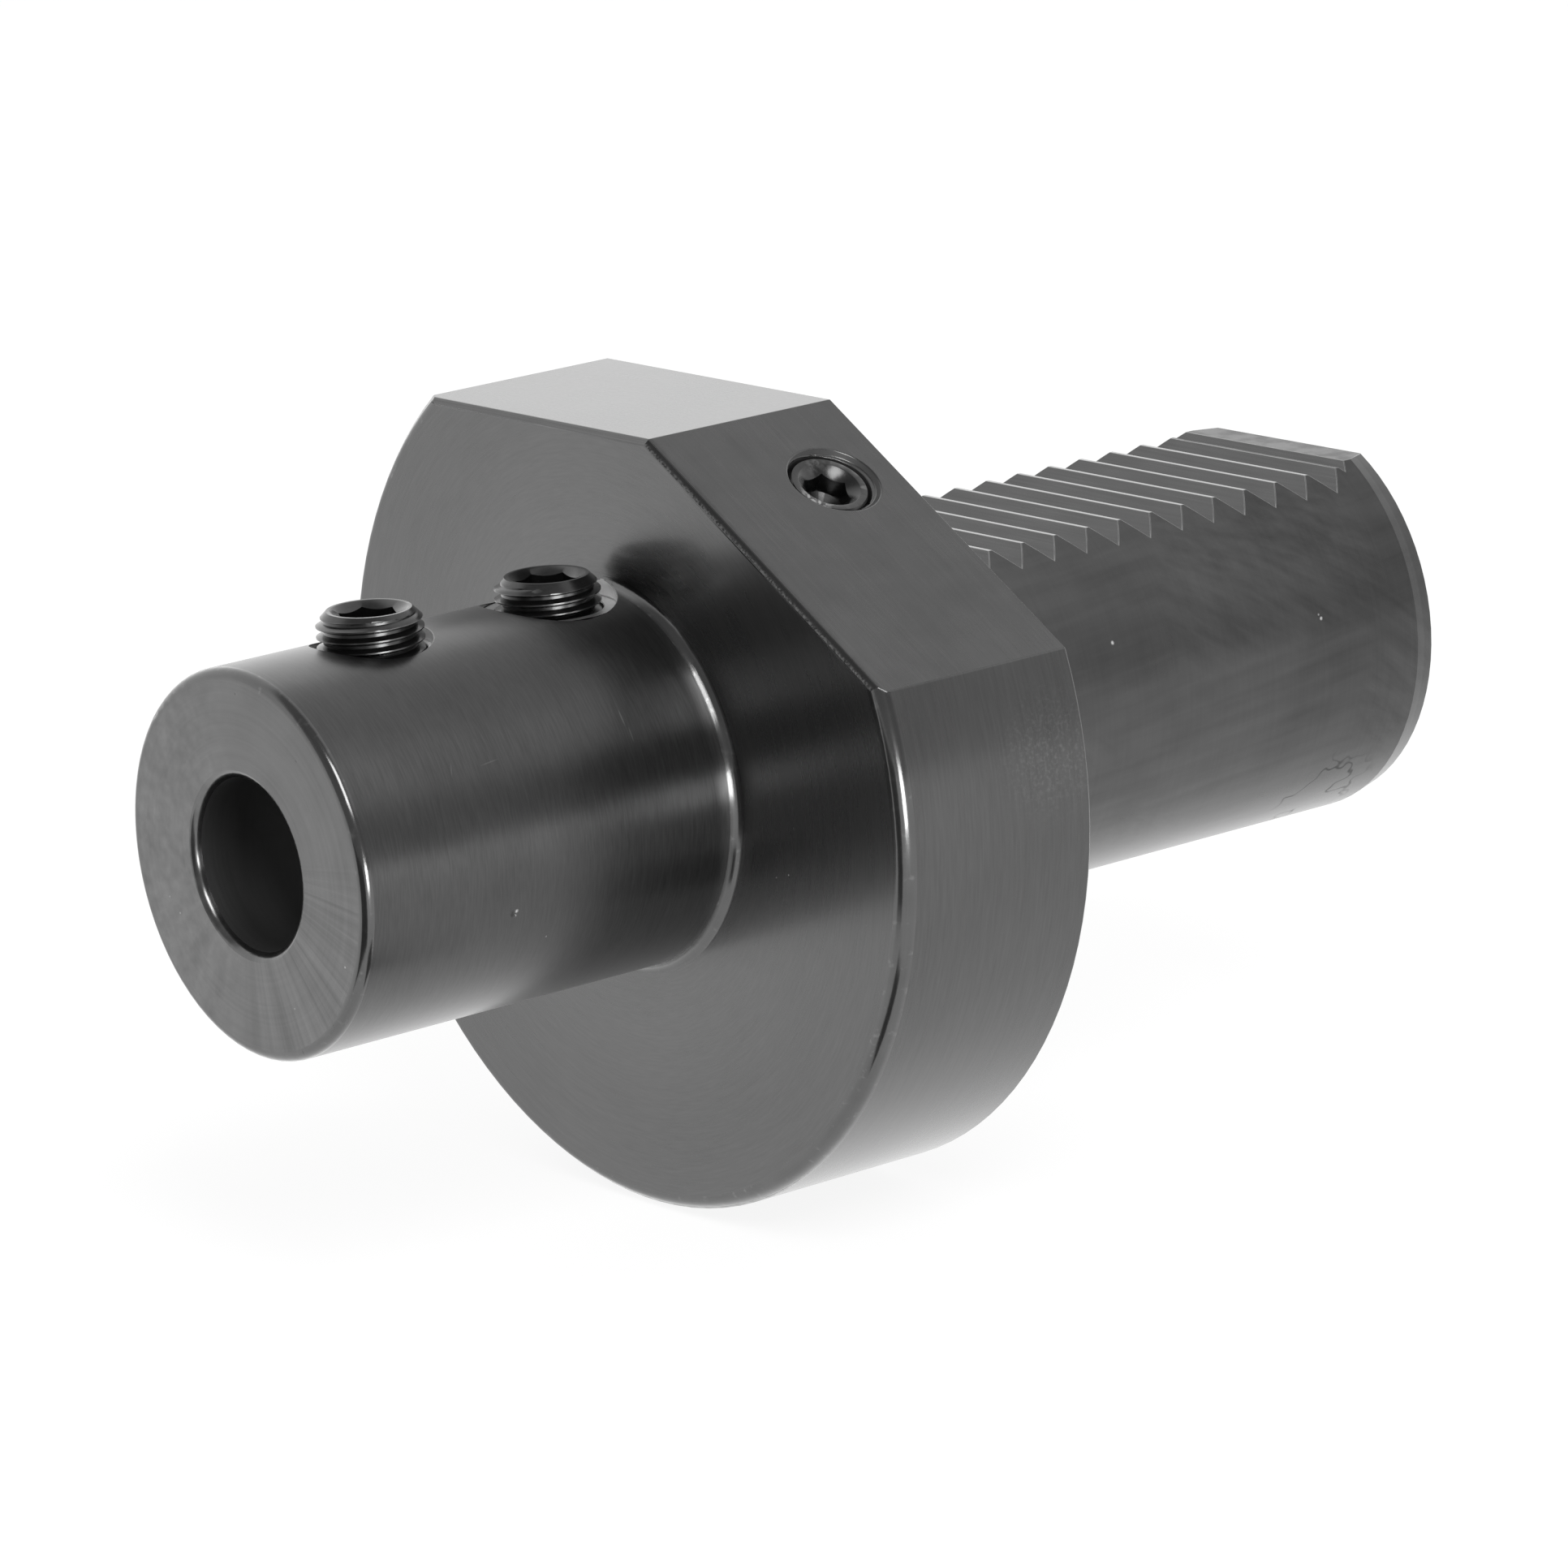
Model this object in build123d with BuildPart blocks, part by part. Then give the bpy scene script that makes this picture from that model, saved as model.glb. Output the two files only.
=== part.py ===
from build123d import *
import math
import os

# Tool holder with a cylindrical serrated shank, for a lathe turret.
# X is the tool axis: the shank points to +X, the tool nose to -X.
# +Z is the side of the serration, the top flat and the clamping screws.
# The origin is on the shank axis, in the plane of the flange's contact face.
# All sizes are in millimetres.

# Shank
shank_radius = 20.0
shank_length = 63.0
lead_in_length = 2.4
lead_in_drop = 0.6
relief_end = 7.5
relief_drop = 0.2
centre_hole_radius = 2.0
centre_hole_depth = 9.0
centre_cone_radius = 4.25
centre_cone_angle = 60.0

# Serration on the shank
tooth_pitch = 4.0
first_crest = 14.1
crest_height = 16.0
crest_land = 0.4
flank_angle = 45.0
end_land_length = 3.3
end_land_rise = 0.4

# Flange
flange_radius = 41.5
flange_thickness = 22.0
top_flat_height = 32.4
side_flat_distance = 31.7
side_flat_angle = 30.9
rim_edge_chamfer = 1.05
flat_edge_chamfer = 0.55
contact_edge_chamfer = 0.25

# Nose
nose_radius = 18.0
nose_length = 41.8
nose_edge_radius = 1.0
nose_root_radius = 0.9

# Tool bore
bore_radius = 8.0
bore_depth = 95.0
bore_mouth_chamfer = 0.6
drill_point_angle = 118.0

# Clamping screws and their seats
screw_radius = 5.0
screw_length = 12.0
screw_top_chamfer = 1.1
screw_point_radius = 3.5
screw_point_length = 1.5
screw_socket_width = 5.0
screw_socket_depth = 5.0
screw_rim_radius = 3.55
socket_cone_angle = 120.0
thread_clearance = 0.05
front_screw_from_face = 15.4
screw_spacing = 20.0
front_screw_standout = 2.72
rear_screw_standout = 2.08
front_socket_turn = 37.0
rear_socket_turn = 52.0
front_spot_radius = 5.6
rear_spot_radius = 6.3
spot_face_depth = 1.15

# Coolant passages and their plug
plug_radius = 4.0
plug_length = 5.0
plug_recess = 0.45
plug_mouth_radius = 4.5
plug_mouth_angle = 45.0
plug_mouth_shift = 0.4
plug_top_chamfer = 0.4
plug_point_chamfer = 0.5
plug_socket_width = 4.0
plug_socket_depth = 3.0
plug_rim_radius = 3.3
plug_from_contact_face = 7.6
plug_socket_turn = 38.0
feed_radius = 3.3
inlet_radius = 2.5
inlet_distance = 23.4
inlet_mouth_chamfer = 0.5
inlet_mouth_angle = 90.0

# Shank seal
seal_width = 3.1
seal_thickness = 3.0
seal_groove_start = 1.6
seal_below_shank = 0.1
seal_gap = 0.1

# How far a cut runs past the surface that it opens, and how near counts as on a place
cut_margin = 1.0
place_tolerance = 0.01

# Places that follow from the sizes
flange_front = -flange_thickness
nose_face = flange_front - nose_length
front_screw_x = nose_face + front_screw_from_face
rear_screw_x = front_screw_x + screw_spacing
relief_radius = shank_radius - relief_drop
seal_outer_radius = shank_radius - seal_below_shank
seal_inner_radius = seal_outer_radius - seal_thickness
seal_groove_radius = seal_inner_radius - seal_gap
seal_groove_end = seal_groove_start + seal_width + 2 * seal_gap

side_flat_turn = math.radians(side_flat_angle)
side_flat_normal = Vector(0, -math.sin(side_flat_turn), math.cos(side_flat_turn))
plug_axis = Vector(-plug_from_contact_face, 0, 0)
side_flat_plane = Plane(
    origin=plug_axis + side_flat_normal * side_flat_distance,
    x_dir=(1, 0, 0),
    z_dir=side_flat_normal,
)
inlet_plane = Plane(
    origin=side_flat_normal * inlet_distance,
    x_dir=(0, 1, 0),
    z_dir=(1, 0, 0),
)


def cone_depth(outer_radius, inner_radius, full_angle):
    """Depth over which a cone of this full angle narrows between two radii."""
    return (outer_radius - inner_radius) / math.tan(math.radians(full_angle / 2))


def rack_outline():
    """Outline of the space milled away above the serration, in X and Z."""
    above = shank_radius + cut_margin
    slope = math.tan(math.radians(flank_angle))
    tooth_depth = (tooth_pitch - crest_land) / 2 / slope
    root_height = crest_height - tooth_depth
    toothed_length = shank_length - end_land_length - end_land_rise - first_crest - crest_land
    tooth_count = int(toothed_length / tooth_pitch) + 1

    first_root = first_crest - tooth_depth * slope
    points = [(first_root - (above - root_height) * slope, above)]
    for tooth in range(tooth_count):
        crest = first_crest + tooth * tooth_pitch
        points.append((crest - tooth_depth * slope, root_height))
        points.append((crest, crest_height))
        points.append((crest + crest_land, crest_height))

    last_crest_end = points[-1][0]
    end_land_start = shank_length - end_land_length
    gap = end_land_start - last_crest_end
    last_root_drop = (gap / slope - end_land_rise) / 2
    points.append((last_crest_end + last_root_drop * slope, crest_height - last_root_drop))
    points.append((end_land_start, crest_height + end_land_rise))
    points.append((shank_length + cut_margin, crest_height + end_land_rise))
    points.append((shank_length + cut_margin, above))
    return points


# Holder body: nose, flange and shank in one piece
with BuildPart() as holder_body:
    with BuildSketch(Plane.XZ):
        with BuildLine():
            Polyline(
                (nose_face, 0),
                (nose_face, nose_radius),
                (flange_front, nose_radius),
                (flange_front, flange_radius - rim_edge_chamfer),
                (flange_front + rim_edge_chamfer, flange_radius),
                (0, flange_radius),
                (0, shank_radius),
                (seal_groove_start, shank_radius),
                (seal_groove_start, seal_groove_radius),
                (seal_groove_end, seal_groove_radius),
                (seal_groove_end, relief_radius),
                (relief_end, relief_radius),
                (relief_end, shank_radius),
                (shank_length - lead_in_length, shank_radius),
                (shank_length, shank_radius - lead_in_drop),
                (shank_length, 0),
                close=True,
            )
        make_face()
    revolve(axis=Axis.X)

    # The top flat and the slanted side flat of the flange
    split(bisect_by=Plane.XY.offset(top_flat_height), keep=Keep.BOTTOM)
    split(bisect_by=side_flat_plane, keep=Keep.BOTTOM)

    # Edges of the flange and the nose
    flange_faces = holder_body.faces().filter_by(Axis.X).sort_by(SortBy.AREA)[-2:].sort_by(Axis.X)
    front_edges = flange_faces[0].outer_wire().edges().filter_by(GeomType.LINE)
    chamfer(front_edges, length=flat_edge_chamfer)
    contact_face = holder_body.faces().filter_by(Axis.X).filter_by_position(
        Axis.X, -place_tolerance, place_tolerance
    )[0]
    chamfer(contact_face.outer_wire().edges(), length=contact_edge_chamfer)
    nose_circles = holder_body.edges().filter_by(GeomType.CIRCLE).filter_by(
        lambda edge: abs(edge.radius - nose_radius) < place_tolerance
    ).sort_by(Axis.X)
    fillet(nose_circles[0], radius=nose_edge_radius)
    root_circle = holder_body.edges().filter_by(GeomType.CIRCLE).filter_by(
        lambda edge: abs(edge.radius - nose_radius) < place_tolerance
    ).sort_by(Axis.X)[-1]
    fillet(root_circle, radius=nose_root_radius)

    # Serration of the shank
    with BuildSketch(Plane.XZ):
        with BuildLine():
            Polyline(*rack_outline(), close=True)
        make_face()
    extrude(amount=shank_radius, both=True, mode=Mode.SUBTRACT)

    # Tool bore with its mouth chamfer and drill point
    bore_end = nose_face + bore_depth
    drill_point = cone_depth(bore_radius, 0, drill_point_angle)
    with BuildSketch(Plane.XZ):
        with BuildLine():
            Polyline(
                (nose_face, 0),
                (nose_face, bore_radius + bore_mouth_chamfer),
                (nose_face + bore_mouth_chamfer, bore_radius),
                (bore_end, bore_radius),
                (bore_end + drill_point, 0),
                close=True,
            )
        make_face()
    revolve(axis=Axis.X, mode=Mode.SUBTRACT)

    # Centre hole in the shank's end
    with Locations(Plane(origin=(shank_length, 0, 0), z_dir=(1, 0, 0))):
        CounterSinkHole(
            radius=centre_hole_radius,
            counter_sink_radius=centre_cone_radius,
            depth=centre_hole_depth,
            counter_sink_angle=centre_cone_angle,
        )

    # Tapped holes and spot faces of the clamping screws
    with BuildSketch(Plane.XY):
        with Locations((front_screw_x, 0), (rear_screw_x, 0)):
            Circle(screw_radius + thread_clearance)
    extrude(amount=nose_radius + cut_margin, mode=Mode.SUBTRACT)
    with BuildSketch(Plane.XY.offset(nose_radius - spot_face_depth)):
        with Locations((front_screw_x, 0)):
            Circle(front_spot_radius)
        with Locations((rear_screw_x, 0)):
            Circle(rear_spot_radius)
    extrude(amount=spot_face_depth + nose_root_radius + cut_margin, mode=Mode.SUBTRACT)

    # Coolant feed from the side flat to the bore, with the plug's seat
    plug_seat_depth = plug_recess + plug_length
    mouth_step = plug_mouth_radius - plug_radius - thread_clearance
    mouth_depth = mouth_step / math.tan(math.radians(plug_mouth_angle))
    with BuildSketch(side_flat_plane):
        Circle(feed_radius)
    extrude(amount=-side_flat_distance, mode=Mode.SUBTRACT)
    with BuildSketch(side_flat_plane):
        Circle(plug_radius + thread_clearance)
    extrude(amount=-plug_seat_depth, mode=Mode.SUBTRACT)
    with BuildSketch(side_flat_plane):
        with Locations((plug_mouth_shift, 0)):
            Circle(plug_mouth_radius)
    extrude(amount=-mouth_depth, taper=plug_mouth_angle, mode=Mode.SUBTRACT)

    # Coolant inlet in the contact face, drilled into the feed
    with Locations(inlet_plane):
        CounterSinkHole(
            radius=inlet_radius,
            counter_sink_radius=inlet_radius + inlet_mouth_chamfer,
            depth=plug_from_contact_face,
            counter_sink_angle=inlet_mouth_angle,
        )
holder_body.part.label = "holder_body"


def socket_screw(radius, length, top_chamfer, point, socket, rim_radius, turn):
    """Set screw with a hexagon socket, its top at Z = 0 and its point down.

    point is the radius and length of the tip, socket the width and depth of the hexagon."""
    point_radius, point_length = point
    socket_width, socket_depth = socket
    half_width = socket_width / 2
    with BuildPart() as screw:
        with BuildSketch(Plane.XZ):
            with BuildLine():
                Polyline(
                    (0, 0),
                    (radius - top_chamfer, 0),
                    (radius, -top_chamfer),
                    (radius, point_length - length),
                    (point_radius, -length),
                    (0, -length),
                    close=True,
                )
            make_face()
        revolve(axis=Axis.Z)
        with BuildSketch(Plane.XY):
            RegularPolygon(half_width, 6, major_radius=False, rotation=turn)
        extrude(amount=-socket_depth, mode=Mode.SUBTRACT)
        with BuildSketch(Plane.XZ):
            with BuildLine():
                Polyline(
                    (0, 0),
                    (rim_radius, 0),
                    (0, -cone_depth(rim_radius, 0, socket_cone_angle)),
                    close=True,
                )
            make_face()
        revolve(axis=Axis.Z, mode=Mode.SUBTRACT)
    return screw.part


# Clamping screws, each as far out as the nose shows it
front_screw = socket_screw(
    radius=screw_radius,
    length=screw_length,
    top_chamfer=screw_top_chamfer,
    point=(screw_point_radius, screw_point_length),
    socket=(screw_socket_width, screw_socket_depth),
    rim_radius=screw_rim_radius,
    turn=front_socket_turn,
)
rear_screw = socket_screw(
    radius=screw_radius,
    length=screw_length,
    top_chamfer=screw_top_chamfer,
    point=(screw_point_radius, screw_point_length),
    socket=(screw_socket_width, screw_socket_depth),
    rim_radius=screw_rim_radius,
    turn=rear_socket_turn,
)

with BuildPart() as clamp_screw_front:
    with Locations((front_screw_x, 0, nose_radius + front_screw_standout)):
        add(front_screw)
clamp_screw_front.part.label = "clamp_screw_front"

with BuildPart() as clamp_screw_rear:
    with Locations((rear_screw_x, 0, nose_radius + rear_screw_standout)):
        add(rear_screw)
clamp_screw_rear.part.label = "clamp_screw_rear"

# Plug of the coolant feed, sunk a little in the side flat
plug_screw = socket_screw(
    radius=plug_radius,
    length=plug_length,
    top_chamfer=plug_top_chamfer,
    point=(plug_radius - plug_point_chamfer, plug_point_chamfer),
    socket=(plug_socket_width, plug_socket_depth),
    rim_radius=plug_rim_radius,
    turn=plug_socket_turn,
)
with BuildPart() as coolant_plug:
    with Locations(side_flat_plane.offset(-plug_recess)):
        add(plug_screw)
coolant_plug.part.label = "coolant_plug"

# Seal ring in the groove next to the contact face
with BuildPart() as shank_seal:
    with BuildSketch(Plane.XZ):
        with Locations((seal_groove_start + seal_gap, seal_inner_radius)):
            Rectangle(seal_width, seal_thickness, align=Align.MIN)
    revolve(axis=Axis.X)
shank_seal.part.label = "shank_seal"

os.makedirs("parts", exist_ok=True)
export_step(holder_body.part, "parts/holder_body.step")
export_step(clamp_screw_front.part, "parts/clamp_screw_front.step")
export_step(clamp_screw_rear.part, "parts/clamp_screw_rear.step")
export_step(coolant_plug.part, "parts/coolant_plug.step")
export_step(shank_seal.part, "parts/shank_seal.step")
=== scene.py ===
import bmesh
import bpy
from collections import defaultdict
from math import ceil, cos, hypot, pi, radians, sin, tan
from mathutils import Matrix, Vector


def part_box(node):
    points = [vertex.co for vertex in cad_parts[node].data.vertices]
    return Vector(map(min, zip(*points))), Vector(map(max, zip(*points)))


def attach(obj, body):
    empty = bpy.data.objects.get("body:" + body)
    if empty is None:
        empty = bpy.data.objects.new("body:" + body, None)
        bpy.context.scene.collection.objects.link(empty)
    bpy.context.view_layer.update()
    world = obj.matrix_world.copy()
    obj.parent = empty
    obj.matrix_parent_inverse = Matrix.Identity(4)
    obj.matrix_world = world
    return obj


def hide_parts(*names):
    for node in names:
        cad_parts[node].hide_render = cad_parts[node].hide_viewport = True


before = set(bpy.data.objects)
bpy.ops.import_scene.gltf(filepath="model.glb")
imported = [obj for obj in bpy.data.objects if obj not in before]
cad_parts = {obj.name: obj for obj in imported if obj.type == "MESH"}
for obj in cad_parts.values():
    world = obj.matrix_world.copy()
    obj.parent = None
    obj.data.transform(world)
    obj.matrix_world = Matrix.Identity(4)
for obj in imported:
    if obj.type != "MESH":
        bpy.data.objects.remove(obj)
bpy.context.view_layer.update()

MM = 0.001
scene = bpy.context.scene

# The camera, fitted to the outlines in the photo
AZIMUTH = radians(-38.082)
ELEVATION = radians(14.150)
ROLL = radians(-3.526)
DISTANCE = 751.34 * MM
AIM = Vector((-2.284, 0.170, -5.056)) * MM
LENS = 183.72
SENSOR = 36.0

# Sizes of the holder, in millimetres, as in the CAD source
NOSE_FACE = -63.8
EDGE_ROUND = 0.9
NOSE_RADIUS = 18.0
ROOT_RADIUS = 0.9
MOUTH_CHAMFER = 0.6
FLANGE_FACE = -22.0
FLANGE_RADIUS = 41.5
RIM_ROUND = 1.3
SHANK_RADIUS = 20.0
SHANK_END = 63.0
SHANK_CHAMFER = 1.5
BORE_RADIUS = 8.0
TOP_FLAT = 32.4
SIDE_FLAT = 31.7
SIDE_ANGLE = radians(30.9)
TOOTH_TOP = 16.0
LOWEST = -41.5
SCREW_X = (-48.4, -28.4)
SCREW_TOP = (20.72, 20.08)
SCREW_TURN = (radians(37.0), radians(52.0))
THREAD_START = (radians(-73.0), radians(175.0))
PLUG_X = -7.6
PLUG_SHIFT = 0.4
PLUG_RECESS = 0.45
PLUG_TURN = radians(38.0)
INLET = 23.4
SEAL_DEPTH = 3.0
SEAL_ROUND = 0.5

X_AXIS = Vector((1.0, 0.0, 0.0))
Z_AXIS = Vector((0.0, 0.0, 1.0))
SIDE_NORMAL = Vector((0.0, -sin(SIDE_ANGLE), cos(SIDE_ANGLE)))
SIDE_ALONG = Vector((0.0, cos(SIDE_ANGLE), sin(SIDE_ANGLE)))


def add_object(name, data):
    made = bpy.data.objects.new(name, data)
    scene.collection.objects.link(made)
    return made


# Camera

def make_camera():
    back = Vector((sin(AZIMUTH) * cos(ELEVATION), -cos(AZIMUTH) * cos(ELEVATION), sin(ELEVATION)))
    right = Vector((cos(AZIMUTH), sin(AZIMUTH), 0.0))
    up = back.cross(right)
    across = right * cos(ROLL) + up * sin(ROLL)
    upward = up * cos(ROLL) - right * sin(ROLL)
    data = bpy.data.cameras.new("camera")
    data.lens = LENS
    data.sensor_width = SENSOR
    data.clip_start = 0.01
    data.clip_end = 50.0
    camera = add_object("camera", data)
    axes = Matrix((across, upward, back)).transposed().to_4x4()
    camera.matrix_world = Matrix.Translation(AIM + back * DISTANCE) @ axes
    scene.camera = camera


# Node helpers

def node(tree, kind, inputs=None, **settings):
    """A shader node. Each input is a value or another node's output, each setting an attribute."""
    made = tree.nodes.new("ShaderNode" + kind)
    for name, value in settings.items():
        setattr(made, name, value)
    for key, value in (inputs or {}).items():
        if isinstance(value, bpy.types.NodeSocket):
            tree.links.new(value, made.inputs[key])
        else:
            made.inputs[key].default_value = value
    return made


def maths(tree, operation, a, b=0.0, c=0.0, clamp=False):
    return node(tree, "Math", {0: a, 1: b, 2: c}, operation=operation, use_clamp=clamp).outputs[0]


def spread(tree, value, low, high, to_low=0.0, to_high=1.0):
    """value, taken smoothly from low..high to to_low..to_high, and held outside."""
    made = node(
        tree, "MapRange", {"Value": value, 1: low, 2: high, 3: to_low, 4: to_high},
        interpolation_type="SMOOTHSTEP",
    )
    return made.outputs[0]


def combine(tree, x, y, z):
    return node(tree, "CombineXYZ", {0: x, 1: y, 2: z}).outputs[0]


def noise(tree, vector, w=0.0, detail=2.0):
    inputs = {"Vector": vector, "W": w, "Scale": 1.0, "Detail": detail}
    return node(tree, "TexNoise", inputs, noise_dimensions="4D").outputs[0]


def blank(name):
    material = bpy.data.materials.new(name)
    material.use_nodes = True
    material.node_tree.nodes.clear()
    return material, material.node_tree


class Place:
    """Where a point of the surface is, in millimetres: along the axis, from it and round it."""

    def __init__(self, tree):
        self.tree = tree
        coordinates = node(tree, "TexCoord").outputs["Object"]
        self.point = node(
            tree, "VectorMath", {0: coordinates, 3: 1.0 / MM}, operation="SCALE"
        ).outputs[0]
        parts = node(tree, "SeparateXYZ", {0: self.point})
        self.x, self.y, self.z = parts.outputs
        square = maths(tree, "MULTIPLY", self.y, self.y)
        square = maths(tree, "MULTIPLY_ADD", self.z, self.z, square)
        self.radius = maths(tree, "SQRT", square)
        self.cosine = maths(tree, "DIVIDE", self.y, self.radius)
        self.sine = maths(tree, "DIVIDE", self.z, self.radius)
        self.across = node(
            tree, "VectorMath", {0: (1.0, 0.0, 0.0), 1: self.point}, operation="CROSS_PRODUCT"
        ).outputs[0]

    def times(self, value, factor):
        return maths(self.tree, "MULTIPLY", value, factor)

    def rings(self, fine, length, detail=2.0):
        """Streaks that run round the axis, fine per millimetre, and length waves a turn."""
        vector = combine(
            self.tree, self.times(self.x, fine), self.times(self.radius, fine),
            self.times(self.cosine, length),
        )
        return noise(self.tree, vector, self.times(self.sine, length), detail)

    def rays(self, fine, length):
        """Streaks that run away from the axis."""
        vector = combine(
            self.tree, self.times(self.cosine, fine), self.times(self.sine, fine),
            self.times(self.radius, length),
        )
        return noise(self.tree, vector, 0.0, 2.0)

    def cloud(self, size, detail=3.0, seed=0.0):
        vector = node(
            self.tree, "VectorMath", {0: self.point, 3: 1.0 / size}, operation="SCALE"
        ).outputs[0]
        return noise(self.tree, vector, seed, detail)

    def streaks(self, along, fine, length, seed=0.0, detail=2.0):
        """Straight streaks along a direction."""
        along = Vector(along).normalized()
        side = along.cross(Vector((0.31, 0.52, 0.79))).normalized()
        third = along.cross(side)
        values = []
        for direction, scale in ((side, fine), (third, fine), (along, length)):
            dot = node(
                self.tree, "VectorMath", {0: self.point, 1: direction}, operation="DOT_PRODUCT"
            ).outputs["Value"]
            values.append(self.times(dot, scale))
        return noise(self.tree, combine(self.tree, *values), seed, detail)

    def patch(self, centre, inner, outer):
        """1 within inner millimetres of a point, 0 beyond outer."""
        distance = node(
            self.tree, "VectorMath", {0: self.point, 1: centre}, operation="DISTANCE"
        ).outputs["Value"]
        return spread(self.tree, distance, outer, inner)

    def dash(self, centre, along, length, width):
        """1 on a short straight mark through a point, 0 beside it."""
        along = Vector(along).normalized()
        offset = node(
            self.tree, "VectorMath", {0: self.point, 1: centre}, operation="SUBTRACT"
        ).outputs[0]
        shift = node(
            self.tree, "VectorMath", {0: offset, 1: along}, operation="DOT_PRODUCT"
        ).outputs["Value"]
        whole = node(self.tree, "VectorMath", {0: offset}, operation="LENGTH").outputs["Value"]
        square = maths(self.tree, "MULTIPLY", shift, shift)
        side = maths(self.tree, "MULTIPLY_ADD", whole, whole, self.times(square, -1.0))
        side = self.times(side, 4.0 / width ** 2)
        total = maths(self.tree, "MULTIPLY_ADD", square, 4.0 / length ** 2, side)
        return spread(self.tree, total, 1.0, 0.1)


def blend_of(tree, base, *terms):
    """base plus each (value, amount), where a value of 0.5 adds nothing."""
    total = base
    for value, amount in terms:
        part = maths(tree, "SUBTRACT", value, 0.5)
        total = maths(tree, "MULTIPLY_ADD", part, amount, total)
    return total


def nicks(tree, place, base, *marks):
    """base in millimetres, with a small pit at each (place, radius, depth)."""
    total = base
    for centre, radius, depth in marks:
        total = maths(tree, "MULTIPLY_ADD", place.patch(centre, 0.0, radius), -depth, total)
    return total


def flecks(tree, place, shade, *marks):
    """shade with a small grain, brighter by amount, at each (place, radius, amount)."""
    for centre, radius, amount in marks:
        shade = maths(tree, "MULTIPLY_ADD", place.patch(centre, 0.0, radius), amount, shade)
    return shade


def steel(tree, shade, rough, height=None, tangent=None, anisotropic=0.0, turn=0.0, film=1.0,
          film_rough=0.2, metal=0.93):
    """Blackened steel under a film of oil. shade is the steel's own reflectance face on, height
    its relief in millimetres."""
    colour = combine(tree, shade, shade, shade)
    shader = node(tree, "BsdfPrincipled", {
        "Base Color": colour,
        "Metallic": metal,
        "Roughness": rough,
        "Anisotropic": anisotropic,
        "Anisotropic Rotation": turn,
        "Coat Weight": film,
        "Coat Roughness": film_rough,
        "Coat IOR": 1.5,
    })
    if tangent is not None:
        tree.links.new(tangent, shader.inputs["Tangent"])
    if height is not None:
        lift = node(tree, "Bump", {"Height": height, "Distance": MM, "Strength": 1.0})
        tree.links.new(lift.outputs[0], shader.inputs["Normal"])
    node(tree, "OutputMaterial", {"Surface": shader.outputs[0]})


# Materials

def nose_steel():
    material, tree = blank("nose_steel")
    place = Place(tree)
    marks = place.rings(2.4, 4.0)
    fine = place.rings(6.0, 9.0, 1.0)
    cloud = place.cloud(14.0)
    blotch = place.cloud(4.0, 3.0, 31.0)
    shade = blend_of(
        tree, 0.050, (marks, 0.018), (fine, 0.034), (cloud, 0.030), (blotch, 0.025)
    )
    shade = flecks(
        tree, place, shade, ((-47.0, -17.35, -4.75), 0.26, 0.6), ((-43.0, -16.0, -8.2), 0.14, 0.3),
    )
    for centre, along, length, width, amount in (
        ((-32.3, -15.1, 9.8), (0.0, 0.48, 0.88), 2.6, 0.22, 0.05),
        ((-32.0, -16.0, 8.2), (0.0, 0.45, 0.89), 1.8, 0.18, 0.04),
        ((-51.8, -15.6, 8.9), (0.3, 0.45, 0.8), 1.6, 0.2, 0.03),
        ((-47.5, -15.7, 8.8), (1.0, 0.0, 0.12), 5.0, 0.16, 0.03),
    ):
        mark = place.dash(centre, along, length, width)
        shade = maths(tree, "MULTIPLY_ADD", mark, amount, shade)
    rough = blend_of(tree, 0.31, (marks, 0.05), (cloud, 0.06))
    height = nicks(
        tree, place, place.times(marks, 0.0006), ((-47.24, -17.3, -4.96), 0.45, 0.20),
        ((-43.0, -16.0, -8.2), 0.16, 0.02),
    )
    # The foot of the nose runs softly into the round at the flange
    reach = maths(tree, "ADD", place.x, 1.4 + ROOT_RADIUS - FLANGE_FACE)
    reach = maths(tree, "MAXIMUM", reach, 0.0)
    height = maths(tree, "MULTIPLY_ADD", maths(tree, "MULTIPLY", reach, reach), 0.1286, height)
    steel(tree, shade, rough, height, place.across, 0.80, 0.25, film_rough=0.25)
    return material


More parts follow.
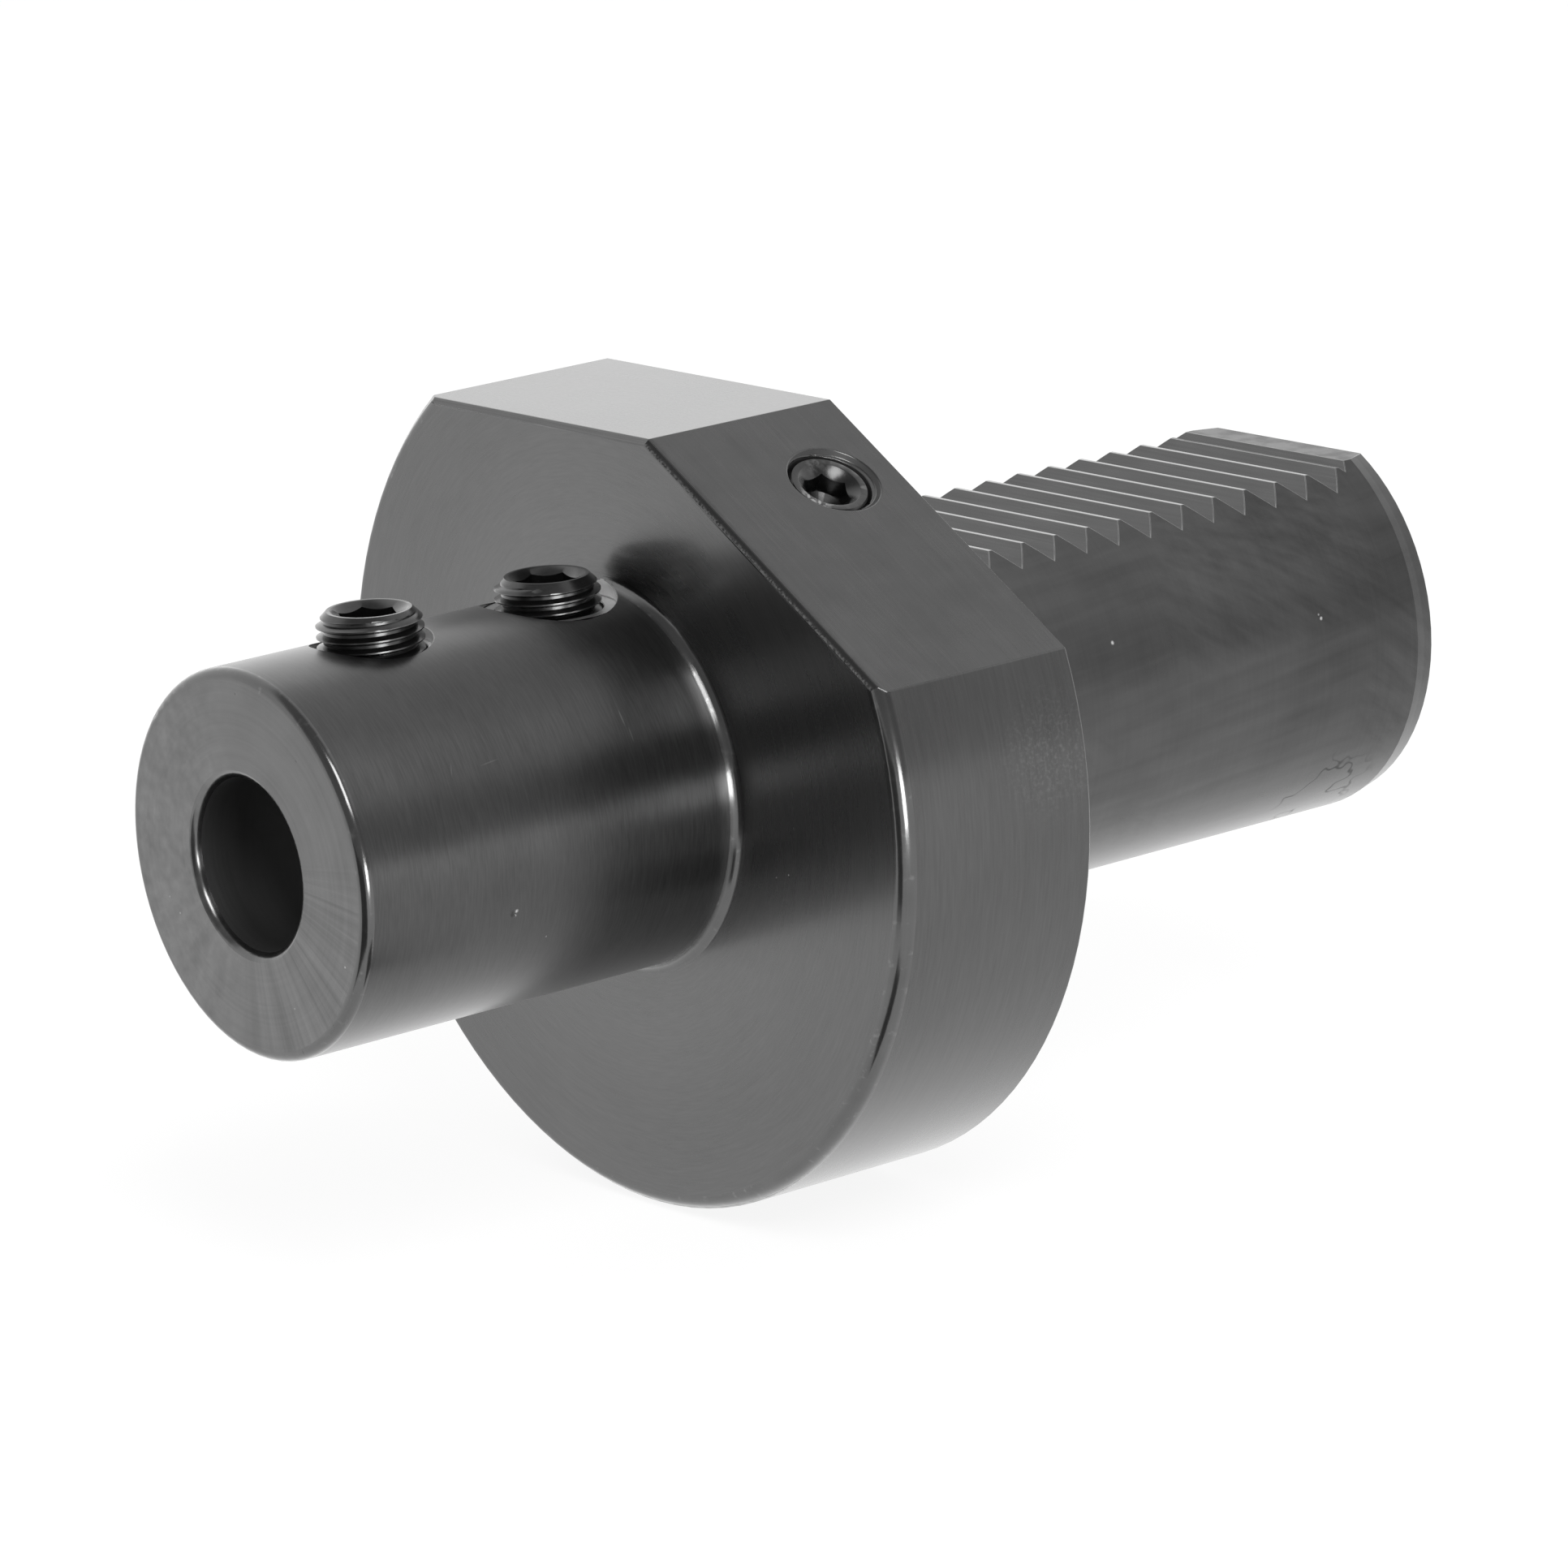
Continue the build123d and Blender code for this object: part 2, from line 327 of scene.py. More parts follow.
def face_steel():
    material, tree = blank("nose_face_steel")
    place = Place(tree)
    marks = place.rings(3.0, 0.8)
    cloud = place.cloud(5.0, 4.0, 3.0)
    mottle = place.cloud(1.2, 3.0, 6.0)
    rays = place.rays(9.0, 0.03)
    thin = place.rays(30.0, 0.04)
    # The turning's radial streaks are real marks, but they go into the colour only low down and at
    # the right, as a painted reflection of the fan that the light draws there.
    low = spread(tree, place.sine, 0.05, -0.45)
    near = spread(tree, place.cosine, 0.25, -0.2)
    near = maths(tree, "MULTIPLY", near, spread(tree, place.sine, 0.3, -0.1))
    far = spread(tree, place.cosine, -0.2, 0.9)
    shade = blend_of(tree, 0.112, (marks, 0.05), (cloud, 0.08))
    part = maths(tree, "MULTIPLY", maths(tree, "SUBTRACT", rays, 0.5), low)
    shade = maths(tree, "MULTIPLY_ADD", part, 0.07, shade)
    part = maths(tree, "MULTIPLY", maths(tree, "SUBTRACT", thin, 0.5), near)
    shade = maths(tree, "MULTIPLY_ADD", part, 0.13, shade)
    part = maths(tree, "MULTIPLY", maths(tree, "SUBTRACT", mottle, 0.42), far)
    shade = maths(tree, "MULTIPLY_ADD", part, 0.12, shade)
    shade = flecks(
        tree, place, shade,
        ((NOSE_FACE, -9.14, 11.13), 0.14, -0.08), ((NOSE_FACE, -14.22, -6.8), 0.16, 0.3),
        ((NOSE_FACE, -5.91, -12.1), 0.12, 0.2), ((NOSE_FACE, 11.14, -6.21), 0.16, 0.2),
        ((NOSE_FACE, -0.48, 15.94), 0.14, -0.10), ((NOSE_FACE, 12.6, -4.9), 0.12, 0.2),
    )
    rough = blend_of(tree, 0.24, (marks, 0.04), (cloud, 0.10))
    height = nicks(
        tree, place, place.times(marks, 0.0006), ((NOSE_FACE, -9.14, 11.13), 0.22, 0.02),
        ((NOSE_FACE, -5.91, -12.1), 0.2, 0.02), ((NOSE_FACE, 11.14, -6.21), 0.25, 0.01),
        ((NOSE_FACE, -14.22, -6.8), 0.15, 0.02), ((NOSE_FACE, -0.48, 15.94), 0.2, 0.03),
    )
    steel(tree, shade, rough, height, place.across, 0.3, 0.25, 0.8)
    return material


def flange_steel():
    material, tree = blank("flange_steel")
    place = Place(tree)
    marks = place.rings(1.8, 4.0)
    fine = place.rings(5.0, 14.0, 1.0)
    cloud = place.cloud(18.0)
    grime = place.cloud(0.35, 3.0, 9.0)
    # The face is a little lighter than the rim, and the rise towards the nose is painted light.
    front = spread(tree, place.x, FLANGE_FACE + 1.2, FLANGE_FACE + 0.9)
    front = maths(tree, "MULTIPLY", front, spread(tree, place.radius, 22.0, 37.0, 0.034, 0.022))
    stain = place.patch((-4.0, -41.0, 5.0), 1.0, 8.0)
    stain = maths(tree, "MULTIPLY", stain, spread(tree, grime, 0.45, 0.75))
    base = maths(tree, "ADD", front, 0.066)
    shade = blend_of(tree, base, (marks, 0.018), (fine, 0.030), (cloud, 0.030))
    shade = maths(tree, "MULTIPLY_ADD", stain, 0.045, shade)
    shade = flecks(
        tree, place, shade, ((FLANGE_FACE, -23.08, -6.08), 0.14, 0.12),
        ((FLANGE_FACE, -24.88, -5.55), 0.16, 0.2), ((FLANGE_FACE, -26.0, -1.0), 0.12, 0.06),
    )
    rough = blend_of(tree, 0.28, (marks, 0.05), (cloud, 0.06))
    height = nicks(
        tree, place, place.times(marks, 0.0006), ((FLANGE_FACE, -23.08, -6.08), 0.14, 0.02),
        ((FLANGE_FACE, -24.88, -5.55), 0.16, 0.03), ((FLANGE_FACE, -26.0, -1.0), 0.13, 0.02),
    )
    steel(tree, shade, rough, height, place.across, 0.75, 0.25, film_rough=0.16)
    return material


def top_steel():
    material, tree = blank("top_flat_steel")
    place = Place(tree)
    marks = place.streaks((0.0, 1.0, 0.0), 5.0, 0.12)
    cloud = place.cloud(12.0, 2.0, 5.0)
    grain = place.cloud(0.5, 2.0, 15.0)
    shade = blend_of(tree, 0.17, (marks, 0.06), (cloud, 0.12), (grain, 0.06))
    rough = blend_of(tree, 0.28, (marks, 0.08), (cloud, 0.06))
    along = node(tree, "CombineXYZ", {1: 1.0}).outputs[0]
    steel(tree, shade, rough, place.times(marks, 0.001), along, 0.4, 0.25)
    return material


def side_steel():
    material, tree = blank("side_flat_steel")
    place = Place(tree)
    marks = place.streaks(SIDE_ALONG, 3.0, 0.10)
    cloud = place.cloud(9.0, 3.0, 2.0)
    smudge = place.cloud(3.0, 3.0, 32.0)
    shade = blend_of(tree, 0.074, (marks, 0.030), (cloud, 0.05), (smudge, 0.03))
    # Painted shade: a ragged dark band along the flat's front edge, next to the chamfer.
    ragged = place.cloud(0.8, 3.0, 33.0)
    edge = maths(tree, "MULTIPLY_ADD", ragged, 0.5, place.x)
    edge = spread(tree, edge, FLANGE_FACE + 1.35, FLANGE_FACE + 0.75)
    shade = maths(tree, "MULTIPLY_ADD", edge, -0.045, shade)
    rough = blend_of(tree, 0.27, (marks, 0.06), (cloud, 0.06))
    along = node(tree, "CombineXYZ", {1: SIDE_ALONG.y, 2: SIDE_ALONG.z}).outputs[0]
    steel(tree, shade, rough, place.times(marks, 0.001), along, 0.4, 0.25)
    return material


def shank_steel():
    material, tree = blank("shank_steel")
    place = Place(tree)
    marks = place.rings(2.6, 2.0)
    rubs = place.streaks((0.79, 0.0, -0.61), 0.9, 0.07, 1.0, 4.0)
    wipes = place.streaks((1.0, 0.0, 0.10), 0.7, 0.05, 5.0, 4.0)
    cloud = place.cloud(12.0, 3.0, 7.0)
    smudge = place.cloud(4.0, 3.0, 17.0)
    end = spread(tree, place.x, 25.0, 60.0)
    base = maths(tree, "MULTIPLY_ADD", end, -0.022, 0.064)
    # One way of wiping here, the other there, and never both
    side = spread(tree, place.cloud(16.0, 1.0, 37.0), 0.44, 0.56)
    rubs = maths(tree, "MULTIPLY_ADD", maths(tree, "SUBTRACT", rubs, 0.5), side, 0.5)
    wipes = maths(tree, "SUBTRACT", wipes, 0.5)
    wipes = maths(tree, "MULTIPLY_ADD", wipes, maths(tree, "SUBTRACT", 1.0, side), 0.5)
    shade = blend_of(
        tree, base, (marks, 0.015), (rubs, 0.070), (wipes, 0.050), (cloud, 0.055), (smudge, 0.025)
    )
    shade = flecks(
        tree, place, shade, ((22.8, -18.92, 6.49), 0.26, 0.7), ((48.55, -19.6, 3.99), 0.24, 0.7),
        ((48.3, -19.5, 4.4), 0.16, 0.4),
    )
    lines = place.cloud(5.0, 2.0, 21.0)
    lines = maths(tree, "ABSOLUTE", maths(tree, "SUBTRACT", lines, 0.5))
    lines = spread(tree, lines, 0.016, 0.003)
    lines = maths(tree, "MULTIPLY", lines, place.patch((52.5, -12.6, -15.5), 3.5, 8.0))
    shade = maths(tree, "MULTIPLY_ADD", lines, -0.05, shade)
    end = spread(tree, place.x, SHANK_END - SHANK_CHAMFER, SHANK_END - SHANK_CHAMFER + 0.4)
    shade = maths(tree, "MULTIPLY_ADD", end, -0.016, shade)
    film = maths(tree, "MULTIPLY_ADD", lines, -0.8, 1.0)
    rough = blend_of(tree, 0.29, (rubs, 0.07), (cloud, 0.12))
    height = nicks(
        tree, place, place.times(marks, 0.0006), ((22.8, -18.92, 6.49), 0.3, 0.06),
        ((48.55, -19.6, 3.99), 0.26, 0.05),
    )
    steel(tree, shade, rough, height, place.across, 0.3, 0.25, maths(tree, "MULTIPLY", film, 0.7))
    return material


def rack_steel():
    material, tree = blank("rack_steel")
    place = Place(tree)
    marks = place.streaks((0.0, 1.0, 0.0), 5.0, 0.10)
    cloud = place.cloud(8.0, 3.0, 4.0)
    shade = blend_of(tree, 0.058, (marks, 0.05), (cloud, 0.04))
    rough = blend_of(tree, 0.26, (marks, 0.08), (cloud, 0.06))
    along = node(tree, "CombineXYZ", {1: 1.0}).outputs[0]
    steel(tree, shade, rough, place.times(marks, 0.001), along, 0.4, 0.25)
    return material


def land_steel():
    material, tree = blank("land_steel")
    place = Place(tree)
    marks = place.streaks((0.0, 1.0, 0.0), 6.0, 0.15)
    smudge = place.cloud(2.2, 3.0, 34.0)
    shade = blend_of(tree, 0.36, (marks, 0.14))
    last = spread(tree, place.x, 55.0, 57.0)
    dirt = maths(tree, "MULTIPLY", last, spread(tree, smudge, 0.40, 0.62))
    shade = maths(tree, "MULTIPLY_ADD", last, -0.24, shade)
    shade = maths(tree, "MULTIPLY_ADD", dirt, -0.05, shade)
    rough = blend_of(tree, 0.30, (marks, 0.10))
    rough = maths(tree, "MULTIPLY_ADD", last, 0.12, rough)
    film = maths(tree, "MULTIPLY_ADD", last, -0.50, 1.0)
    film = maths(tree, "MULTIPLY_ADD", dirt, -0.20, film)
    steel(tree, shade, rough, place.times(marks, 0.001), film=film)
    return material


def bore_steel():
    material, tree = blank("bore_steel")
    place = Place(tree)
    marks = place.rings(4.0, 1.0)
    cloud = place.cloud(6.0, 3.0, 8.0)
    # Lighter down the tool bore, where less light comes, so that it looks evenly dark
    base = spread(tree, place.x, -61.5, -50.0, 0.035, 0.30)
    behind = spread(tree, place.x, FLANGE_FACE - 2.0, FLANGE_FACE)
    base = maths(tree, "MULTIPLY_ADD", behind, -0.255, base)
    shade = blend_of(tree, base, (marks, 0.02), (cloud, 0.01))
    rough = blend_of(tree, 0.55, (marks, 0.08), (cloud, 0.06))
    steel(tree, shade, rough, place.times(marks, 0.001), film=0.1, film_rough=0.3, metal=0.3)
    return material


def edge_steel():
    """Where the blackening is rubbed off a sharp edge."""
    material, tree = blank("edge_steel")
    place = Place(tree)
    cloud = place.cloud(3.0, 3.0, 18.0)
    grain = place.cloud(0.4, 2.0, 19.0)
    shade = blend_of(tree, 0.24, (cloud, 0.20), (grain, 0.10))
    rough = blend_of(tree, 0.28, (cloud, 0.10))
    steel(tree, shade, rough, place.times(grain, 0.002))
    return material


def band_steel():
    """The narrow chamfer of the top flat, with the cutter's parallel lines."""
    material, tree = blank("band_steel")
    place = Place(tree)
    lines = place.streaks((0.0, 1.0, 0.0), 9.0, 0.05, 3.0)
    cloud = place.cloud(4.0, 3.0, 22.0)
    shade = blend_of(tree, 0.060, (lines, 0.14), (cloud, 0.03))
    rough = blend_of(tree, 0.24, (lines, 0.08))
    steel(tree, shade, rough, place.times(lines, 0.002))
    return material


def burr_steel():
    """The narrow chamfer of the slanted flat, dark, with a torn bright line next to the face."""
    material, tree = blank("burr_steel")
    place = Place(tree)
    grain = place.cloud(0.22, 3.0, 23.0)
    cloud = place.cloud(3.0, 3.0, 24.0)
    line = spread(tree, place.x, FLANGE_FACE + 0.32, FLANGE_FACE + 0.12)
    bright = maths(tree, "MULTIPLY", line, spread(tree, grain, 0.36, 0.64))
    shade = blend_of(tree, 0.045, (cloud, 0.03), (grain, 0.02))
    shade = maths(tree, "MULTIPLY_ADD", bright, 0.26, shade)
    rough = blend_of(tree, 0.26, (cloud, 0.10))
    steel(tree, shade, rough, place.times(grain, 0.006))
    return material


def round_steel():
    """The rounds of the nose and the flange, rubbed smoother than the turned faces."""
    material, tree = blank("round_steel")
    place = Place(tree)
    marks = place.rings(5.0, 6.0)
    cloud = place.cloud(3.0, 3.0, 35.0)
    wear = place.cloud(0.9, 3.0, 36.0)
    shade = blend_of(tree, 0.088, (marks, 0.025), (cloud, 0.040))
    shade = maths(tree, "MULTIPLY_ADD", spread(tree, wear, 0.58, 0.74), 0.06, shade)
    rough = blend_of(tree, 0.19, (marks, 0.03), (cloud, 0.06))
    # The nose's soft foot goes on here
    reach = maths(tree, "ADD", place.x, ROOT_RADIUS - FLANGE_FACE)
    reach = maths(tree, "MINIMUM", maths(tree, "MAXIMUM", reach, 0.0), 0.7)
    slope = maths(tree, "MULTIPLY_ADD", reach, -0.257, 0.36)
    height = maths(tree, "MULTIPLY_ADD", reach, slope, place.times(wear, 0.004))
    steel(tree, shade, rough, height, place.across, 0.3, 0.25, film_rough=0.15)
    return material


def seat_steel():
    """The milled seats round the clamping screws."""
    material, tree = blank("seat_steel")
    place = Place(tree)
    marks = place.streaks((0.0, 0.0, 1.0), 4.0, 0.5, 25.0)
    cloud = place.cloud(2.5, 3.0, 26.0)
    shade = blend_of(tree, 0.70, (marks, 0.12), (cloud, 0.30))
    rough = blend_of(tree, 0.38, (cloud, 0.10))
    steel(tree, shade, rough, place.times(marks, 0.001), film=0.3, film_rough=0.35)
    return material


def screw_steel(name, base, rim, *worn_at):
    """Blackened screw steel, lighter by rim on its sharp edges and thread crests as a painted
    highlight, and brighter with wear at each (place, radius, amount)."""
    material, tree = blank(name)
    place = Place(tree)
    cloud = place.cloud(1.6, 4.0, 11.0)
    grain = place.cloud(0.35, 2.0, 12.0)
    # Painted highlight: the sharp edges and thread crests, found by their pointiness, are made
    # lighter by rim.
    sheen_and_wear = node(tree, "NewGeometry").outputs["Pointiness"]
    edge = spread(tree, sheen_and_wear, 0.52, 0.60)
    edge = maths(tree, "MULTIPLY", edge, spread(tree, cloud, 0.35, 0.65, 0.3, 1.0))
    shade = blend_of(tree, base, (cloud, base * 0.6), (grain, base * 0.4))
    shade = maths(tree, "MULTIPLY_ADD", edge, rim, shade)
    for centre, radius, amount in worn_at:
        mark = place.patch(centre, 0.3, radius)
        mark = maths(tree, "MULTIPLY", mark, spread(tree, grain, 0.40, 0.62))
        shade = maths(tree, "MULTIPLY_ADD", mark, amount, shade)
    rough = blend_of(tree, 0.24, (cloud, 0.14), (grain, 0.08))
    steel(tree, shade, rough, place.times(grain, 0.006), film=0.7, film_rough=0.24)
    return material


def seal_rubber():
    material, tree = blank("seal_rubber")
    place = Place(tree)
    cloud = place.cloud(2.0, 4.0, 13.0)
    grain = place.cloud(0.2, 2.0, 14.0)
    value = blend_of(tree, 0.022, (cloud, 0.016))
    colour = combine(tree, value, value, value)
    shader = node(tree, "BsdfPrincipled", {
        "Base Color": colour, "Roughness": blend_of(tree, 0.55, (cloud, 0.2)), "IOR": 1.5,
    })
    lift = node(tree, "Bump", {"Height": grain, "Distance": 0.01 * MM, "Strength": 1.0})
    tree.links.new(lift.outputs[0], shader.inputs["Normal"])
    node(tree, "OutputMaterial", {"Surface": shader.outputs[0]})
    return material


# Holder

# The materials' places in the holder's list
NOSE, FACE, FLANGE, TOP, SIDE, SHANK, RACK, LAND, BORE, EDGE, BAND, BURR, SEAT, ROUND = range(14)

# CAD faces and edges beyond this x are on the shank
ON_SHANK = 5.0

# A CAD face is flat if its mean normal is at least this long
FLAT = 0.99999
# The normals of a cone are at most this far off it, on average
CONE_FIT = 0.07
# Those of a ring hardly turn round the axis, but vary along it
RING_SPIN = 0.06
RING_DRIFT = 0.1

# The axes that the holder's turned, bored and milled faces go round
TURNING_AXES = (
    (Vector(), X_AXIS),
    (X_AXIS * SCREW_X[0], Z_AXIS),
    (X_AXIS * SCREW_X[1], Z_AXIS),
    (X_AXIS * PLUG_X, SIDE_NORMAL),
    (X_AXIS * (PLUG_X + PLUG_SHIFT), SIDE_NORMAL),
    (SIDE_NORMAL * INLET, X_AXIS),
)


def cad_faces(mesh):
    """The polygons of each CAD face, which share no corner with another CAD face's."""
    parent = list(range(len(mesh.vertices)))

    def root(corner):
        while parent[corner] != corner:
            parent[corner] = parent[parent[corner]]
            corner = parent[corner]
        return corner

    for polygon in mesh.polygons:
        first = root(polygon.vertices[0])
        for corner in polygon.vertices[1:]:
            parent[root(corner)] = first
    groups = defaultdict(list)
    for polygon in mesh.polygons:
        groups[root(polygon.vertices[0])].append(polygon)
    return list(groups.values())


class Surface:
    """The plane, the cone about an axis, or the ring (the nose's edge or root) that a CAD face
    lies on, in millimetres."""

    def __init__(self, mesh, polygons):
        points = [mesh.vertices[k].co / MM for polygon in polygons for k in polygon.vertices]
        self.low = Vector([min(p[i] for p in points) for i in range(3)])
        self.high = Vector([max(p[i] for p in points) for i in range(3)])
        radii = [hypot(p.y, p.z) for p in points]
        self.inner, self.outer = min(radii), max(radii)
        parts = [(polygon.center / MM, polygon.normal, polygon.area) for polygon in polygons]
        total = sum(part[2] for part in parts)
        mean = sum((normal * area for _, normal, area in parts), Vector()) / total
        self.plane = mean.normalized() if mean.length > FLAT else None
        self.ring = None
        self.axis = None
        if self.plane is not None:
            return
        best = CONE_FIT
        for origin, axis in TURNING_AXES:
            # The mean normal's parts along the axis, away from it and round it
            tilt = lean = spin = 0.0
            for centre, normal, area in parts:
                away = centre - origin
                away = (away - axis * away.dot(axis)).normalized()
                tilt += normal.dot(axis) * area / total
                lean += normal.dot(away) * area / total
                spin += abs(normal.dot(axis.cross(away))) * area / total
            drift = sum(abs(normal.dot(axis) - tilt) * area for _, normal, area in parts) / total
            turned = axis is X_AXIS and origin.length == 0.0
            if turned and spin < RING_SPIN and drift > RING_DRIFT:
                self.ring = "edge" if self.high.x < NOSE_FACE + 2.0 else "root"
                return
            if spin + drift < best:
                best = spin + drift
                side = 1.0 if lean > 0.0 else -1.0
                self.origin, self.axis, self.tilt = origin, axis, tilt
                self.lean = side * (1.0 - tilt ** 2) ** 0.5

    def normal_at(self, point):
        if self.plane is not None:
            return self.plane
        if self.ring == "edge":
            return round_normal(point, NOSE_FACE + EDGE_ROUND, NOSE_RADIUS - EDGE_ROUND)
        if self.ring == "root":
            away = Vector((0.0, point.y, point.z))
            away = away.normalized() * (away.length - (NOSE_RADIUS + ROOT_RADIUS))
            across = Vector((point.x - (FLANGE_FACE - ROOT_RADIUS), 0.0, 0.0))
            return -(across + away).normalized()
        if self.axis is None:
            return None
        away = point - self.origin
        away = (away - self.axis * away.dot(self.axis)).normalized()
        return self.axis * self.tilt + away * self.lean

    def has_axis(self, axis):
        return self.axis is axis and self.origin.length < 0.01

    def is_rim(self):
        in_front = self.high.x < FLANGE_FACE + 2.0
        return self.has_axis(X_AXIS) and self.outer > FLANGE_RADIUS - 0.5 and in_front

    def is_mouth(self):
        return self.has_axis(X_AXIS) and self.high.x < NOSE_FACE + 0.7

    def region(self):
        """The number of the material that the CAD face takes."""
        plane, low, high = self.plane, self.low, self.high
        if self.ring is not None or self.is_rim():
            return ROUND
        if self.has_axis(X_AXIS) and abs(self.inner - NOSE_RADIUS) < 0.05:
            return NOSE
        if plane is not None:
            if plane.dot(SIDE_NORMAL) > 0.999 and high.z > 30.0:
                return SIDE
            if plane.z > 0.999 and low.z > TOP_FLAT - 0.1:
                return TOP
            if high.x < NOSE_FACE + 0.1:
                return FACE
            if -0.8 < plane.x < -0.6 and high.x < FLANGE_FACE + 1.0:
                return BAND if plane.y > -0.1 else BURR
            if plane.z > 0.3 and low.x > ON_SHANK:
                return LAND if plane.z > 0.99 and low.z < TOOTH_TOP + 0.5 else RACK
            if plane.z > 0.99 and high.x < FLANGE_FACE:
                return SEAT
            if low.x > ON_SHANK:
                return SHANK
            if self.outer < SHANK_RADIUS + 1.0 and low.x > 0.5:
                return BORE
            return FLANGE
        if self.axis is Z_AXIS:
            return SEAT if low.z > 16.0 else BORE
        if not self.has_axis(X_AXIS):
            return BORE
        if self.is_mouth():
            return FACE
        if low.x > 4.0 and self.inner > SHANK_RADIUS - 1.5:
            return SHANK
        if self.outer > FLANGE_RADIUS - 0.5:
            return FLANGE
        return BORE


# Points closer than this are taken as one, and faces closer than this angle as one flat face
WELD = 0.002
EVEN = radians(0.4)
# The edges between CAD faces that meet at more than this angle are broken, by at most this width
SHARP = radians(25.0)
WIDEST_BREAK = 0.43


def edge_break(first, second):
    """How wide the edge between two CAD faces is broken, in millimetres."""
    regions = {first.region(), second.region()}
    if first.is_rim() or second.is_rim():
        return 0.06 if regions & {BAND, BURR, TOP, SIDE} else WIDEST_BREAK
    if first.is_mouth() or second.is_mouth():
        return 0.2
    if LAND in regions:
        return 0.05
    if RACK in regions and SHANK in regions:
        return 0.07
    if BAND in regions or BURR in regions:
        return 0.08
    return 0.10


def round_normal(point, x, radius):
    """The normal on the round between a face across the axis and a turned face. The round's
    centre is at x, radius."""
    across = min(point.x - x, 0.0)
    away = Vector((0.0, point.y, point.z))
    reach = max(away.length - radius, 0.0)
    normal = Vector((across, 0.0, 0.0)) + away.normalized() * reach
    return normal.normalized() if normal.length > 1e-6 else -X_AXIS


def mouth_normal(point):
    """The normal on the worn chamfer at the mouth of the bore."""
    away = Vector((0.0, point.y, point.z))
    share = min(max((BORE_RADIUS + MOUTH_CHAMFER + 0.1 - away.length) / MOUTH_CHAMFER, 0.0), 1.0)
    angle = radians(22.0 + 56.0 * share)
    return -X_AXIS * cos(angle) - away.normalized() * sin(angle)


def exact_normals(mesh, surfaces, owners):
    """Gives every corner the normal of the surface it lies on, also next to a broken edge."""
    known = defaultdict(list)
    for polygon in mesh.polygons:
        if polygon.material_index == EDGE:
            continue
        surface = surfaces[owners[polygon.index]]
        for k in polygon.vertices:
            normal = surface.normal_at(mesh.vertices[k].co / MM)
            if normal is not None:
                known[k].append(normal)
    normals = [None] * len(mesh.loops)
    for polygon in mesh.polygons:
        centre = polygon.center / MM
        radius = hypot(centre.y, centre.z)
        broken = polygon.material_index == EDGE
        surface = surfaces[owners[polygon.index]]
        rim = (
            (broken or surface.is_rim())
            and FLANGE_FACE < centre.x < FLANGE_FACE + 1.6 and radius > FLANGE_RADIUS - 2.5
            and centre.dot(SIDE_NORMAL) < SIDE_FLAT - 0.1 and centre.z < TOP_FLAT - 0.1
        )
        mouth = (
            (broken or surface.is_mouth())
            and NOSE_FACE < centre.x < NOSE_FACE + 1.0 and radius < BORE_RADIUS + 1.2
        )
        for loop, k in zip(polygon.loop_indices, polygon.vertices):
            point = mesh.vertices[k].co / MM
            if rim:
                normal = round_normal(point, FLANGE_FACE + RIM_ROUND, FLANGE_RADIUS - RIM_ROUND)
            elif mouth:
                normal = mouth_normal(point)
            elif broken and known[k]:
                normal = sum(known[k], Vector()).normalized()
            elif broken:
                normal = mesh.vertices[k].normal
            else:
                normal = surface.normal_at(point)
                if normal is None:
                    normal = polygon.normal
            normals[loop] = normal
        if broken and rim:
            polygon.material_index = ROUND
        elif broken and mouth:
            polygon.material_index = FACE
        elif broken and centre.x < ON_SHANK:
            polygon.material_index = FLANGE
    mesh.normals_split_custom_set(normals)


def make_holder():
    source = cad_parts["holder_body"].data
    groups = cad_faces(source)
    surfaces = [Surface(source, group) for group in groups]
    work = bmesh.new()
    work.from_mesh(source)
    work.faces.ensure_lookup_table()
    owner = work.faces.layers.int.new("cad_face")
    for number, group in enumerate(groups):
        region = surfaces[number].region()
        for polygon in group:
            work.faces[polygon.index][owner] = number
            work.faces[polygon.index].material_index = region
    bmesh.ops.remove_doubles(work, verts=work.verts, dist=WELD * MM)
    bmesh.ops.dissolve_limit(
        work, angle_limit=EVEN, use_dissolve_boundaries=False,
        verts=work.verts, edges=work.edges, delimit={"MATERIAL"},
    )
    weight = work.edges.layers.float.new("bevel_weight_edge")
    for edge in work.edges:
        if len(edge.link_faces) != 2:
            continue
        first, second = (surfaces[face[owner]] for face in edge.link_faces)
        # The bottom of a tooth's gap stays sharp
        if edge.calc_face_angle_signed() < 0.0 and first.region() == second.region() == RACK:
            continue
        if first is not second and edge.calc_face_angle() > SHARP:
            edge[weight] = edge_break(first, second) / WIDEST_BREAK
    for face in work.faces:
        face.smooth = True
    mesh = bpy.data.meshes.new("holder_steel")
    work.to_mesh(mesh)
    work.free()
    holder = add_object("holder_steel", mesh)
    for material in (
        nose_steel(), face_steel(), flange_steel(), top_steel(), side_steel(), shank_steel(),
        rack_steel(), land_steel(), bore_steel(), edge_steel(), band_steel(), burr_steel(),
        seat_steel(), round_steel(),
    ):
        mesh.materials.append(material)
    bevel = holder.modifiers.new("edge_breaks", "BEVEL")
    bevel.width = WIDEST_BREAK * MM
    bevel.segments = 3
    bevel.limit_method = "WEIGHT"
    bevel.use_clamp_overlap = False
    bevel.material = EDGE
    bpy.context.view_layer.update()
    graph = bpy.context.evaluated_depsgraph_get()
    mesh = bpy.data.meshes.new_from_object(
        holder.evaluated_get(graph), preserve_all_data_layers=True, depsgraph=graph
    )
    holder.modifiers.clear()
    holder.data = mesh
    owners = [item.value for item in mesh.attributes["cad_face"].data]
    exact_normals(mesh, surfaces, owners)
    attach(holder, "holder")
    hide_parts("holder_body")


